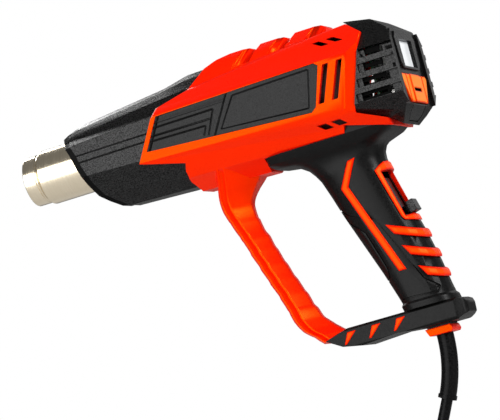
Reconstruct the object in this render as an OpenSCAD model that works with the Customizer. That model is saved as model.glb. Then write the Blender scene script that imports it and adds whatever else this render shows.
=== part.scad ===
// Hand-held hot-air gun with a closed D-shaped handle, a steel nozzle, a display and a slide switch.
// Millimetres. +X is the way the air blows, +Y the gun's left side and +Z up.
// The origin is the middle of the grip, where a hand holds it.

/* [Nozzle] */
// outer diameter of the steel nozzle tube
nozzle_d = 35; // [33:0.5:37]
// outer diameter of the stepped seat that takes slip-on nozzles
seat_d = 32; // [29:0.5:32.5]
// length of that seat
seat_len = 8; // [6:0.5:11]
// wall of the tube
nozzle_wall = 1; // [0.6:0.1:1.4]
// how far the tube stands out of the nose at the top
nozzle_out = 30; // [24:1:40]

/* [Nose] */
// width across the nose shroud's side panels
nose_w = 50; // [47:1:53]
// depth of the nose below the barrel axis
nose_drop = 35; // [33:0.5:36.5]
// wall of the nose shroud
nose_wall = 2.4; // [1.8:0.2:3]

/* [Housing] */
// width of the housing at its front cheeks
cheek_w = 61; // [59:1:65]
// width of the housing at its back
body_w = 77; // [73:1:83]
// height of the housing's thumb ridges above the barrel axis
body_top = 38.3; // [37.3:0.5:42.3]
// depth of the belly below the barrel axis
belly_drop = 40; // [39.5:0.5:44]
// wall of the housing shells
shell = 2.6; // [2:0.2:3.2]
// height of the three thumb ridges above the housing's flat top
ridge_h = 4.8; // [3.6:0.2:5.4]

/* [Rear cap] */
// distance from the nose's front to the rear face
body_len = 231; // [228:1:240]
// step from the housing down to the cap
cap_step = 1.2; // [0.6:0.2:2]
// wall of the cap
cap_wall = 2.4; // [1.8:0.2:3]
// height of an air slot in the cap
louvre_gap = 5.4; // [3:0.2:6]

/* [Controls] */
// width of the display window
lcd_w = 26; // [20:1:27]
// height of the display window
lcd_h = 17; // [12:1:17]
// width of the temperature rocker
rocker_w = 52; // [44:1:53]
// height of the temperature rocker
rocker_h = 17.6; // [15:0.2:18]
// diameter of the rocker's pin
rocker_pin_d = 3; // [2:0.5:3.5]
// travel of the slide switch
slide_travel = 16; // [8:1:17]
// width of the slide knob
knob_w = 10; // [8:0.5:12]

/* [Handle] */
// width of the grip
grip_w = 35; // [33:1:40]
// wall of the grip shells
grip_wall = 2.6; // [2:0.2:3.2]
// height of the handle between housing and base
handle_len = 114; // [110:1:125]

/* [Guard and base] */
// width of the front guard
guard_w = 25; // [20:1:28]
// edge bevel of the front guard
guard_bevel = 4; // [2:0.5:6]
// width of the base bar
base_w = 30; // [26:1:34]
// height of the base bar
base_h = 13; // [11:0.5:16]
// edge bevel of the base bar
base_bevel = 1.5; // [1:0.5:4]

/* [Blower] */
// diameter of the motor
motor_d = 32; // [26:1:36]
// length of the motor
motor_len = 40; // [34:1:44]
// diameter of the motor shaft
shaft_d = 3; // [2:0.5:4]
// diameter of the fan
fan_d = 50; // [44:1:50]
// length of the fan
fan_len = 10; // [8:1:11]
// number of fan blades
blade_count = 9; // [5:1:11]

/* [Heater] */
// turns of heating wire
coil_turns = 10; // [6:1:12]
// diameter of the heating wire winding
wire_d = 1.6; // [1:0.2:2]
// thickness of the mica boards
mica_t = 1.2; // [0.8:0.2:2]

/* [Cord] */
// diameter of the mains cord
cord_d = 7; // [6:0.5:7.2]
// diameter of the bend protection sleeve
sleeve_d = 10.5; // [9:0.5:12]
// diameter of the plug's body
plug_d = 35; // [30:1:38]

/* [Hidden] */
$fn = 64;
// lengths run back from the nozzle's standard tip plane, heights from the barrel axis
grip_mid = [222, 95];
fit = 0.15;
running = 0.05;
slip = 0.4;
far = 90;

// nozzle and heater
nose_front = 30;
tip = nose_front - nozzle_out;
seat_groove = 0.8;
flange_d = nozzle_d + 13;
flange_t = 1.8;
nozzle_end = 142;
nozzle_bore = nozzle_d - 2 * nozzle_wall;
seat_bore = seat_d - 2 * (nozzle_wall + seat_groove);
sleeve_wall = 0.8;
mica_bore = nozzle_bore - 2 * (fit + sleeve_wall);
mica_front = tip + seat_len + 8;
core_front = mica_front + 4;
core_back = 124;
core_r = mica_bore / 2 - 4;
spider_len = 5;

// nose shroud: stations of the loft and the raked rim, as offsets from the nose's front
nose_gap = 0.6;
rim_t = 4;
lip_band = 4.2;
lip_step = 0.9;
nose_groove = 1.3;
hump_front = 104;
hump_back = 121;
nose_end = 133;
spigot_end = 140;
spigot_step = 3;
nose_dome = 8;
rim = [[20, 60], [17, 28.5], [8, 22.5], [2.3, 18.5], [7, 7], [10, -4], [14, -15], [18, -23], [23, -28],
    [28, -32], [34, -37], [34, -60]];

// housing outline: front corners, rear joint and underside
cheek_front = 84;
cap_rear = nose_front + body_len;
body_back = cap_rear - 14;
body_low = 32;
// what lies towards the rear joint is placed from it
tail = cap_rear - 261;
cheek_nose = [[85, -13.5], [103.5, 17.5], [124.5, 23], [137.4, body_top - 4.5], [146, body_top - 1.2],
    [156, body_top + 0.2], [157, 60]];
belly_front = [[160, -60], [116, -60], [113.6, -38], [110.8, -32], [111.2, -25.5], [113.5, -20.7]];
joint = [[cap_rear - 30, body_top - 2.8], [cap_rear - 16, 24], [cap_rear - 31, -23], [body_back, -30.7]];
under = [[body_back, -35.1], [219 + tail, -27.5], [217 + tail, -body_low], [162, -body_low]];
crown_front = 118;
crown_back = 219;
scoop_at = [172, 195.5, 220.5];
scoop_out = 2.6;
scoop_r = 5;
// heights at the front and at the back of the shoulder edge and of the top
body_shoulder = [19, body_top - ridge_h - 0.8];
body_crest = [body_top - ridge_h - 8, body_top - ridge_h];
cap_shoulder = [17.5, 32.5];
cap_crest = [body_top - 1.8, body_top - 0.8];

// rear cap
cap_skin = 3;
cap_taper = 2;
rim_h = 2;
louvre_top = 10.4;
louvre_pitch = 8.7;
louvre_count = 4;
lcd_z = 6.8;
lens_t = 1;
frame_w = [8, 5, 1.6];
frame_h = 1.4;
recess_depth = 2.2;
rocker_z = -15.6;
rocker_gap = 0.7;
rocker_t = 3;
rocker_proud = 0.8;
rocker_foot = 34;
band_w = 18.6;
band_h = 0.7;
pivot_d = cap_rear - 8;
board_t = 1.6;
board_front = cap_rear - 17;
key_h = 5;
lug_w = 3;
stem_w = 32;
screen_at = body_w / 2 - 7.1;
screen_t = 0.8;

// blower
duct_wall = 1.5;
fan_gap = 2;
duct_r = fan_d / 2 + fan_gap + duct_wall;
duct_back = cap_rear - 35;
duct_cone = 158;
fan_front = cap_rear - 52.5;
motor_back = fan_front - 2.5;
hub_d = 14;
mount_t = 4;

// handle
base_top = -(body_low + handle_len);
grip_knee = 23;
// depth below the housing, front edge, rear edge, half width less than the grip's, squareness
grip_stations = [
    [-6, 160, 252, -7, 6], [0, 160, 250, -7, 6], [5, 160.5, 243.5, -5, 5.5], [7.8, 164, 236.5, -2.4, 4.6],
    [9, 172, 234, -1.4, 4], [10.8, 178, 232.2, -0.6, 3.5], [14.5, 183.3, 230.9, 0, 3], [18.5, 186.3,
        230.8, 0, 2.8],
    [grip_knee, 188.9, 231.4, 0, 2.7], [33, 192.5, 233.8, 0, 2.7], [48, 197.4, 237.6, 0, 2.7],
    [68, 204.8, 243.2, 0.5, 2.7], [88, 212.2, 247.6, 1, 2.7], [104, 217.6, 250.2, 1, 2.8], [109, 219.2,
        251.2, 1, 2.9],
    [110.5, 218.2, 252.6, 0.2, 3], [114, 219, 253.4, 0.2, 3]];
grip_design = 114;
grip_points = 20;
inlay_t = 1.2;
inlay_proud = 0.3;
rib_proud = 1;
stripe_at = [[212, -48], [217, -47], [208.5, -63.5], [230.5, -121.5], [225.5, -121.5], [203.5, -63.5]];
rib_at = [[225, -92], [231.6, -106.7], [238.2, -121.4]];
rib_slope = -0.39;
rib_h = 5.4;
bezel_at = [[233, -51.5], [226.5, -58], [235.5, -89.5], [237, -92], [262, -99], [262, -51.5]];
bezel_proud = 0.8;
bezel_pocket = 6;
pocket_w = 25;
bezel_hood = 6.8;
stem_foot = 4.6;
// seams of the soft front pad and of the raised flank, along each side of the grip
pad_seam = [[190, -74], [198.6, -75.8], [201.4, -84.9], [207, -89], [211.1, -93.3], [218.7, -118.3],
    [217.6, -124.3],
    [210, -126]];
flank_seam = [[198.6, -75.8], [202.2, -79.4], [219.2, -87.4], [221.6, -90.6], [239.6, -129.7], [247, -136],
    [244.4, -139.5], [222.4, -138.5]];
seam_w = 0.9;
seam_depth = 0.6;
slide_lean_at = 15.3;
slide_home_at = [238.6, -84.5];
slide_foot = 16;
knob_len = 7.6;
knob_h = 3.4;
stem_len = 5;
stem_w_knob = 4.8;
switch_size = [12, 16, 40];

// front guard: height, front edge, rear edge, half width more than the guard's
guard_stations = [
    [-156, 168.5, 187, 0], [-146, 159.8, 178, 0], [-141, 153.8, 172, 0], [-134, 149.6, 165.6, 0],
    [-125, 147, 161.4, 0], [-101, 138.8, 152.6, 0], [-77, 130.8, 144.8, 0], [-65, 126.2, 141, 0],
    [-58, 123.6, 140, 0.3], [-53, 122.6, 140.6, 0.8], [-47, 122.9, 144.5, 2], [-40, 124.8, 151, 4.4],
    [-34, 126.6, 154.6, 7], [-28, 128, 157, 10]];

// base bar
base_low = base_top - base_h;
base_shift = base_top + 146;
insert_count = 3;
insert_pitch = 16.3;
insert_first = 179.5;
insert_low = 1.3;
insert_high = 5.6;
insert_slant = 3.6;
neck_h = 1;
neck = [231, 245.5, 9];
collar_h = 4.7;
collar = [229.5, 247, 10];
collar_top = base_low - neck_h;
collar_low = collar_top - collar_h;
clamp_h = 6;
clamp_w = 14;

// cord: exit, sleeve bend, route and coil
cord_at = 238.5;
sleeve_bend = 85;
sleeve_angle = 27;
lip_angle = 1.6;
lip_extra = 1.2;
coil_pitch = cord_d + 0.8;
coil_out = 54;
coil_in_turns = 3;
coil_out_turns = 3.575;
lead_len = 80;
tail_len = 40;
plug_neck = 14;
plug_len = 24;
pin_d = 4.8;
pin_len = 19;
pin_span = 19;
tie_w = 9;
tie_t = 1.2;

// screws: [distance back, height] of each axis
screw_d = 3;
screw_head = 5.6;
boss_d = 7;
body_screw_at = [[149, -32.6], [150, 32], [192, 32.4]];
grip_screw_holes = [[172, -37.5], [208, -68], [228, -128]];
base_screw_at = [[229.5, -4.5], [229.5, 4.5]];

orange = [1, 0.25, 0.03];
black = [0.13, 0.13, 0.13];
grey = [0.25, 0.25, 0.25];
steel = [0.78, 0.75, 0.7];
mica = [0.85, 0.8, 0.66];
copper = [0.75, 0.45, 0.25];
white = [0.88, 0.9, 0.9];
green = [0.1, 0.4, 0.2];

// general shapes

function mix(a, b, t) = a + (b - a) * t;
function unit(v) = v / norm(v);
function inward(a, b) = let (e = unit(b - a)) [-e[1], e[0]];

// moves every edge of a convex counter-clockwise outline inwards by t
function shrink(p, t) = [for (i = [0 : len(p) - 1])
    let (n = len(p), b = p[i], u = inward(p[(i + n - 1) % n], b), v = inward(b, p[(i + 1) % n]))
    b + (u + v) * t / (1 + u * v)];

// closes a half section, listed from the bottom up, with its mirror image
function whole(half) = concat(half, [for (i = [len(half) - 1 : -1 : 0]) [-half[i][0], half[i][1]]]);
function ring_d(d, outline) = [for (p = outline) [d, p[0], p[1]]];
function ring_h(h, outline) = [for (p = outline) [p[0], p[1], h]];

// skins a row of rings with the same number of points
module loft(rings) {
    n = len(rings[0]);
    m = len(rings);
    walls = [for (j = [0 : m - 2], i = [0 : n - 1])
        let (a = j * n + i, b = j * n + (i + 1) % n)
        each [[a, a + n, b + n], [a, b + n, b]]];
    caps = [[for (i = [0 : n - 1]) i], [for (i = [n - 1 : -1 : 0]) (m - 1) * n + i]];
    polyhedron(points = [for (r = rings) each r], faces = concat(caps, walls));
}

// round tube along a path; across is a direction that the path never runs along
function heading(path, i) = unit(path[min(i + 1, len(path) - 1)] - path[max(i - 1, 0)]);
function tube_ring(path, i, d, sides, across) =
    let (t = heading(path, i), u = unit(cross(t, across)), v = cross(t, u))
    [for (k = [0 : sides - 1]) path[i] + d / 2 * (cos(360 * k / sides) * u + sin(360 * k / sides) * v)];
module tube(path, d, sides, across) {
    loft([for (i = [0 : len(path) - 1]) tube_ring(path, i, d, sides, across)]);
}

// least distance between stretches of a path that are at least skip steps apart, less the tube
function least_gap(path, d, skip) = min([for (i = [0 : len(path) - 1 - skip])
    min([for (j = [i + skip : len(path) - 1]) norm(path[i] - path[j])])]) - d;

module place() translate([grip_mid[0], 0, grip_mid[1]]) rotate([0, 0, 180]) children();
module barrel(d) translate([d, 0, 0]) rotate([0, 90, 0]) children();
module across(d, s, h) translate([d, s, h]) rotate([-90, 0, 0]) children();
module side(outline, low = -far, high = far) {
    translate([0, high, 0]) rotate([90, 0, 0]) linear_extrude(high - low) polygon(outline);
}
module front(outline, low, high) {
    translate([low, 0, 0]) rotate([90, 0, 90]) linear_extrude(high - low) polygon(outline);
}
module block(low, high) translate(low) cube(high - low);
// turn = 1 keeps the gun's right side, turn = -1 its left side
// square bar on its edge between two points, which cuts a vee groove
module vee(from, to, bar) {
    run = to - from;
    translate(from) rotate([0, -atan2(run[2], norm([run[0], run[1]])), atan2(run[1], run[0])])
        rotate([45, 0, 0])
        translate([0, -bar / 2, -bar / 2]) cube([norm(run), bar, bar]);
}
module half(turn) {
    intersection() {
        children();
        block([-100, turn > 0 ? 0 : -far, -300], [400, turn > 0 ? far : 0, 100]);
    }
}
module both_sides() {
    children();
    mirror([0, 1, 0]) children();
}

// nozzle and heater

module nozzle_tube() {
    color(steel) barrel(tip) rotate_extrude() polygon([
        [seat_bore / 2, 0], [seat_d / 2 - 0.5, 0], [seat_d / 2, 0.5], [seat_d / 2, seat_len],
        [seat_d / 2 - seat_groove, seat_len + 0.5], [seat_d / 2 - seat_groove, seat_len + 1.5],
        [nozzle_d / 2, seat_len + 3], [nozzle_d / 2, nozzle_end - flange_t - tip],
        [flange_d / 2, nozzle_end - flange_t - tip], [flange_d / 2, nozzle_end - tip],
        [nozzle_bore / 2, nozzle_end - tip], [nozzle_bore / 2, seat_len + 5], [seat_bore / 2,
            seat_len + 3]]);
}

module mica_sleeve() {
    outer = nozzle_bore / 2 - fit;
    color(mica) barrel(mica_front) difference() {
        cylinder(r = outer, h = nozzle_end - 2 - mica_front);
        translate([0, 0, -1]) cylinder(r = outer - sleeve_wall, h = nozzle_end);
    }
}

// two crossed mica boards, full width at both ends and narrow where the wire is wound
module heater_cross() {
    color(mica) for (turn = [0, 90]) rotate([turn, 0, 0]) {
        block([core_front, -mica_t / 2, -core_r], [core_back, mica_t / 2, core_r]);
        for (d = [core_front, core_back - spider_len])
            block([d, -mica_t / 2, fit - mica_bore / 2], [d + spider_len, mica_t / 2, mica_bore / 2 - fit]);
    }
}

module heater_coil() {
    radius = core_r + fit + wire_d / 2 / cos(30);
    first = core_front + spider_len + 2 * wire_d;
    span = core_back - core_front - 2 * (spider_len + 2 * wire_d);
    steps = 16;
    path = [for (i = [0 : coil_turns * steps])
        [first + span * i / coil_turns / steps, radius * cos(360 * i / steps),
            radius * sin(360 * i / steps)]];
    echo(heater_gap = least_gap(path, wire_d, steps - 2));
    color(copper) tube(path, wire_d, 6, [1, 0, 0]);
}

module thermal_cutout() {
    color(grey) barrel(core_back) cylinder(r = 5, h = 5);
}

// nose shroud

function nose_half(w, drop, shoulder, crease, dome) = [
    [w - 16, -drop], [w - 6, 8.5 - drop], [w, 23.5 - drop], [w - 0.5, shoulder], [w - 7, crease],
    [0.44 * w, crease + 0.65 * dome], [0.16 * w, crease + dome]];
function nose_outline(w, drop, shoulder, crease, dome, t) = shrink(whole(nose_half(w, drop, shoulder,
    crease, dome)), t);
module nose_solid(t, spigot) {
    w = nose_w / 2;
    crest = 25.2;
    last = nose_outline(w, nose_drop, 15, crest, nose_dome + 2.2, t);
    loft(concat([
        ring_d(nose_front - 2, nose_outline(w - 2.5, nose_drop - 3, 11, nozzle_d / 2 - 1.9, nose_dome, t)),
        ring_d(hump_front, nose_outline(w, nose_drop, 14.5, crest - 1.8, nose_dome, t)),
        ring_d(hump_back, nose_outline(w, nose_drop, 15, crest - 0.6, nose_dome + 2.5, t)),
        ring_d(nose_end, last)],
        [for (d = [nose_end + 0.5, spigot]) ring_d(d, shrink(last, spigot_step))]));
}
module rim_cut(shift) {
    side(concat([[-20, 60]], [for (p = rim) [nose_front + shift + p[0], p[1]]], [[-20, -60]]));
}
module nose_shroud() {
    color(black) difference() {
        union() {
            difference() {
                nose_solid(0, spigot_end);
                rim_cut(lip_band);
            }
            difference() {
                nose_solid(lip_step, spigot_end);
                rim_cut(0);
            }
        }
        difference() {
            nose_solid(nose_wall, spigot_end + 1);
            rim_cut(rim_t);
        }
        barrel(-20) cylinder(d = nozzle_d + 2 * nose_gap, h = 150);
        for (h = [0, 4.5]) both_sides()
            vee([nose_front + 6, nose_w / 2 - 2.2, h], [hump_front - 2, nose_w / 2, h], nose_groove);
    }
}

// housing

function along_body(d) = (d - cheek_front) / (body_back - cheek_front);
function body_half(d, shoulder, crest) = let (t = along_body(d), w = mix(cheek_w, body_w, t) / 2) [
    [mix(9, 12, t), -mix(belly_drop - 2, belly_drop + 2, t)], [mix(20, 25, t), -mix(29, 33, t)],
    [w, -mix(13, 20, t)], [w, mix(12.5, 13.5, t)], [24, mix(shoulder[0], shoulder[1], t)], [13,
        mix(crest[0], crest[1], t)]];
function body_outline(d, t) = shrink(whole(body_half(d, body_shoulder, body_crest)), t);
module body_solid(t, first, last) {
    loft([for (d = [first, last]) ring_d(d, body_outline(d, t))]);
}
// raised rail that carries the thumb ridges
function crown_half(d) = let (t = along_body(d), top = mix(body_crest[0], body_crest[1], t),
    foot = mix(mix(body_shoulder[0], body_shoulder[1], t), top, 3 / 11))
    [[12, top - 1.5], [20, foot - 1.5], [21.5, foot - 0.3], [13.5, body_top]];
module crown() {
    loft([for (d = [crown_front, crown_back]) ring_d(d, whole(crown_half(d)))]);
}
// trough across the rail, which runs forwards as it goes down on either side
module scoop(d) {
    across(d, -16, body_top + scoop_out) cylinder(r = scoop_r, h = 32);
    both_sides() translate([d, 13.5, body_top + scoop_out]) rotate([0, 135, atan2(8, -11)])
        cylinder(r = scoop_r, h = 30);
}
side_outline = concat(cheek_nose, [[joint[0][0], 60]], joint, under, belly_front);
cavity_outline = [[spigot_end, 60], [300, 60], [300, -22.9], [joint[2][0] - 1, -22.9], [219.5 + tail,
    shell - 27.2],
    [217.5 + tail, shell - body_low], [161, shell - body_low], [157.5, -36.5], [spigot_end, -36.5]];
panel_outline = [[92, -7.5], [103.5, 12], [213 + tail, 13], [215.5 + tail, 11], [207.5 + tail, -13],
    [204 + tail, -15.5]];
panel_back = 0.4;
plate_field = [[203 + tail, -12.2], [208.5 + tail, 10.5], [156.5, 9.8], [144, -8]];
// grooves that divide the panel's front into bars
bar_lines = [[[100, 8.6], [150.2, 8.5]], [[98.4, 5.6], [142, 5.6]], [[142, 5.6], [134.9, -9.3]],
    [[96, 0.9], [139.4, 0.2]], [[94.4, -1.9], [134.6, -3]], [[134.6, -3], [131.9, -8.7]]];
panel_t = 1.2;
panel_groove = 1.1;

// outline of a strip that follows the tapering side wall, from outer to inner depth
function wall_w(d) = mix(cheek_w, body_w, along_body(d)) / 2;
function on_wall(p) = [p[0], wall_w(p[0]) - panel_back + 0.1, p[1]];
module side_layer(outer, inner) {
    translate([0, 0, -40]) linear_extrude(80) polygon([
        [cheek_front, wall_w(cheek_front) - inner], [body_back, wall_w(body_back) - inner],
        [body_back, wall_w(body_back) - outer], [cheek_front, wall_w(cheek_front) - outer]]);
}
module vents() {
    for (d = [tail, tail + 9.3])
        side([[209.4 + d, -12], [213.6 + d, -12], [222.6 + d, 10.8], [218.4 + d, 10.8]], 18, far);
    for (d = [tail, tail + 9.5]) {
        side([[212 + d, 26.5], [217 + d, 26.5], [224 + d, 22.5], [219 + d, 22.5]], 22, far);
        side([[203 + d, -23.5], [209 + d, -23.5], [213 + d, -27], [207 + d, -27]], 20, far);
    }
}
module screw_bosses(at, d, half_w) {
    for (p = at) across(p[0], -half_w, p[1]) cylinder(d = d, h = 2 * half_w);
}
module screw_bores(at, seat) {
    for (p = at) {
        across(p[0], -seat + 2, p[1]) cylinder(d = screw_d + 2 * fit, h = 2 * seat);
        across(p[0], seat - 3, p[1]) cylinder(d = screw_head + 2 * fit, h = far);
    }
}
module screw_set(at, seat) {
    for (p = at) {
        across(p[0], -seat + 3, p[1]) cylinder(d = screw_d, h = 2 * seat - 6);
        across(p[0], seat - 3, p[1]) cylinder(d = screw_head, h = 2.2);
    }
}
body_screw_seat = 13;
vent_pad = body_w / 2 - 5.5;
chamfer = [6.2, 3];
// sloping strip along the flank's rear edge
module flank_chamfer() {
    edge = joint[1] - joint[2];
    translate([joint[2][0], wall_w(joint[2][0]), joint[2][1]]) rotate([0, atan2(edge[0], edge[1]), 0])
        linear_extrude(norm(edge)) polygon([[-chamfer[0], 0.1], [0, -chamfer[1]], [9, -chamfer[1]], [9,
            2], [-chamfer[0], 2]]);
}
module housing_half(turn) {
    color(orange) half(turn) difference() {
        union() {
            intersection() {
                difference() {
                    body_solid(0, cheek_front, body_back + 4);
                    intersection() {
                        body_solid(shell, spigot_end, body_back + 8);
                        side(cavity_outline);
                    }
                }
                side(side_outline);
            }
            difference() {
                intersection() {
                    crown();
                    side(side_outline);
                }
                for (d = scoop_at) scoop(d);
            }
            intersection() {
                body_solid(shell / 2, spigot_end, body_back);
                side(side_outline);
                union() {
                    screw_bosses(body_screw_at, boss_d - 1, 40);
                    for (d = [166, 200]) block([d, -far, -body_low + 1], [d + 2, far, far]);
                    both_sides() block([205 + tail, vent_pad, -19.5], [246 + tail, far, 13.4]);
                }
            }
        }
        nose_solid(-fit, spigot_end);
        barrel(spigot_end) cylinder(r = duct_r + fit, h = far * 2);
        both_sides() intersection() {
            side_layer(-1, panel_back + panel_t);
            rotate([90, 0, 0]) linear_extrude(2 * far, center = true) offset(delta = fit)
                polygon(panel_outline);
        }
        both_sides() {
            vents();
            flank_chamfer();
        }
        block([195 + tail, -10, -body_low - 5], [216 + tail, 10, -20]);
        screw_bores(body_screw_at, body_screw_seat);
    }
}
module housing_left() housing_half(-1);
module housing_right() housing_half(1);

module side_panel() {
    color(grey) difference() {
        intersection() {
            side_layer(panel_back, panel_back + panel_t);
            side(panel_outline);
        }
        for (b = bar_lines) vee(on_wall(b[0]), on_wall(b[1]), panel_groove);
        vee(on_wall([138.4, -11.2]), on_wall([153.2, 13]), panel_groove);
        vee(on_wall([93.2, -8.6]), on_wall([105.3, 11.9]), panel_groove + 0.2);
        for (i = [0 : 3]) vee(on_wall(plate_field[i]), on_wall(plate_field[(i + 1) % 4]), panel_groove);
        intersection() {
            side_layer(-1, panel_back + 0.3);
            side(plate_field, 0, far);
        }
    }
}
module side_panel_right() side_panel();
module side_panel_left() mirror([0, 1, 0]) side_panel();

// blower

module air_duct() {
    neck_r = nozzle_bore / 2;
    color(grey) barrel(0) rotate_extrude() polygon([
        [neck_r, nozzle_end], [flange_d / 2 + 2, nozzle_end], [flange_d / 2 + 2, nozzle_end + 3],
        [duct_r, duct_cone], [duct_r, duct_back], [duct_r - duct_wall, duct_back],
        [duct_r - duct_wall, duct_cone + 1], [neck_r, nozzle_end + 3]]);
}
module motor_mount() {
    ring = duct_r - duct_wall - fit;
    color(black) barrel(motor_back - motor_len / 2) linear_extrude(mount_t) {
        difference() {
            circle(r = ring);
            circle(r = ring - 2);
        }
        difference() {
            union() {
                circle(d = motor_d + 5);
                for (a = [30, 150, 270]) rotate(a) translate([0, -2]) square([ring - 1, 4]);
            }
            circle(d = motor_d + 2 * fit);
        }
    }
}
module motor() {
    color(steel) barrel(motor_back - motor_len) difference() {
        union() {
            cylinder(d = motor_d, h = motor_len);
            cylinder(d = shaft_d + 7, h = motor_len + 1.5);
        }
        translate([0, 0, motor_len / 2]) cylinder(d = shaft_d + 2 * running, h = motor_len);
    }
}
module motor_shaft() {
    color(steel) barrel(motor_back - motor_len / 2 + 1) cylinder(d = shaft_d,
        h = motor_len / 2 + fan_len + 4);
}
module impeller() {
    color(black) difference() {
        union() {
            barrel(fan_front) cylinder(d = hub_d, h = fan_len);
            for (k = [0 : blade_count - 1]) rotate([360 * k / blade_count, 0, 0])
                intersection() {
                    barrel(fan_front) cylinder(d = fan_d, h = fan_len);
                    translate([fan_front + fan_len / 2, 0, fan_d / 4 + 2]) rotate([0, 0, 50])
                        cube([fan_len * 2, 1.2, fan_d / 2], center = true);
                }
        }
        barrel(fan_front - 1) cylinder(d = shaft_d + 0.04, h = fan_len * 3);
    }
}

// rear cap and controls

cap_outline = concat([[joint[0][0], joint[0][1]]], [joint[1], joint[2], joint[3]],
    [[cap_rear - 8, -36], [cap_rear, -26], [cap_rear, 22.5], [cap_rear - 11, joint[0][1] - 4.2]]);
cap_cavity = [[cap_rear - 36, body_top - ridge_h - 2], [cap_rear - 11.6, joint[0][1] - 4.2 - cap_wall],
    [cap_rear - cap_skin, 22.5 - cap_wall], [cap_rear - cap_skin, -25], [body_back + 3, -32 + cap_wall],
    [cap_rear - 32, -22.8 + cap_wall], [cap_rear - 36, -22.8 + cap_wall]];
module cap_solid(t) {
    first = cap_rear - 37;
    loft([ring_d(first, cap_section(first, cap_step + t)), ring_d(cap_rear + 4, cap_section(body_back,
        cap_step + cap_taper + t))]);
}
function cap_section(d, t) = shrink(whole(body_half(d, cap_shoulder, cap_crest)), t);
function rocker_outline(t) = let (w = rocker_w / 2, top = rocker_z + rocker_h / 2,
    low = rocker_z - rocker_h / 2) shrink([
    [rocker_foot / 2, low], [w, top - 3], [w, top - 1.5], [w - 1.5, top],
    [1.5 - w, top], [-w, top - 1.5], [-w, top - 3], [-rocker_foot / 2, low]], -t);
// frame round the display, narrower at its foot
function lcd_frame() = let (w = lcd_w / 2 + frame_w[0], top = lcd_z + lcd_h / 2 + frame_w[1],
    low = lcd_z - lcd_h / 2 - frame_w[2])
    [[w - 5, low], [w - 1.5, low + 4], [w, top - 4], [w - 3, top],
    [3 - w, top], [-w, top - 4], [1.5 - w, low + 4], [5 - w, low]];
// line of the latch tab on the slope under the rocker
function latch(t) = shrink([[9, -34.4], [13, -31], [13, -20], [-13, -20], [-13, -31], [-9, -34.4]], t);
module latch_line() {
    intersection() {
        difference() {
            front(latch(0), cap_rear - 12, cap_rear + 1);
            front(latch(0.9), cap_rear - 13, cap_rear + 2);
        }
        side([[cap_rear - 0.6, -25.6], [cap_rear + 3, -28], [cap_rear - 6, -39], [cap_rear - 8.6, -35.6]]);
    }
}
module louvres() {
    for (k = [0 : louvre_count - 1]) {
        h = louvre_top - louvre_pitch * k;
        start = mix(joint[2][0], joint[1][0], (h - joint[2][1]) / (joint[1][1] - joint[2][1])) + 4.5;
        block([start, 22, h - louvre_gap / 2], [cap_rear - 3.8, far, h + louvre_gap / 2]);
        difference() {
            block([start - 3, 22, h - louvre_gap / 2], [cap_rear + 9, far, h + louvre_gap / 2]);
            cap_solid(recess_depth);
        }
    }
}
board_posts = [[19, 18], [-19, 18], [22, -22.2], [-22, -22.2]];
module rear_cap() {
    face = cap_rear - cap_skin;
    color(black) difference() {
        union() {
            difference() {
                intersection() {
                    cap_solid(0);
                    side(cap_outline);
                }
                intersection() {
                    cap_solid(cap_wall);
                    side(cap_cavity);
                }
            }
            intersection() {
                front(cap_section(body_back, cap_step + cap_taper), cap_rear - 1, cap_rear + rim_h);
                both_sides() block([cap_rear - 1, body_w / 2 - 10.5, -25.5], [cap_rear + rim_h, far, 21]);
            }
            front(lcd_frame(), cap_rear - 1, cap_rear + frame_h);
            for (p = board_posts) translate([board_front + board_t, p[0], p[1]]) rotate([0, 90, 0])
                cylinder(d = 5, h = face - board_front - board_t + 1);
            both_sides() block([pivot_d - 4, stem_w / 2 + fit, rocker_z - 4],
                [face + 1, stem_w / 2 + fit + lug_w, rocker_z + rocker_h / 2 + 6]);
        }
        front(rocker_outline(rocker_gap), face - 0.6, cap_rear + 9);
        latch_line();
        block([face - 1, -lcd_w / 2 - fit, lcd_z - lcd_h / 2 - fit], [cap_rear + 9, lcd_w / 2 + fit,
            lcd_z + lcd_h / 2 + fit]);
        both_sides() louvres();
        across(pivot_d, -far, rocker_z) cylinder(d = rocker_pin_d + 0.04, h = 2 * far);
    }
}
module inlet_screens() {
    color(black) both_sides() difference() {
        side([[cap_rear - 26, -18.4], [cap_rear - 6.5, -18.4], [cap_rear - 6.5, 12.4], [cap_rear - 17,
            12.4]],
            screen_at, screen_at + screen_t);
        for (k = [0 : 6]) block([cap_rear - 23.5 + 1.2 * k, 0, -16.4 + 4 * k], [cap_rear - 8, far,
            -14.8 + 4 * k]);
    }
}
module display_lens() {
    color(white) block([cap_rear - 1 - lens_t, -lcd_w / 2, lcd_z - lcd_h / 2], [cap_rear - 1,
        lcd_w / 2, lcd_z + lcd_h / 2]);
}
module display_module() {
    color(white) block([board_front + board_t, -lcd_w / 2, lcd_z - lcd_h / 2], [cap_rear - 1 - lens_t,
        lcd_w / 2, lcd_z + lcd_h / 2]);
}
module control_board() {
    color(green) block([board_front, -24.6, -24.6], [board_front + board_t, 24.6, 21]);
}
key_at = [rocker_z + 6, rocker_z - 6];
module key_switches() {
    color(grey) for (h = key_at)
        block([board_front + board_t, -3, h - 3], [board_front + board_t + key_h, 3, h + 3]);
}
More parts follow.
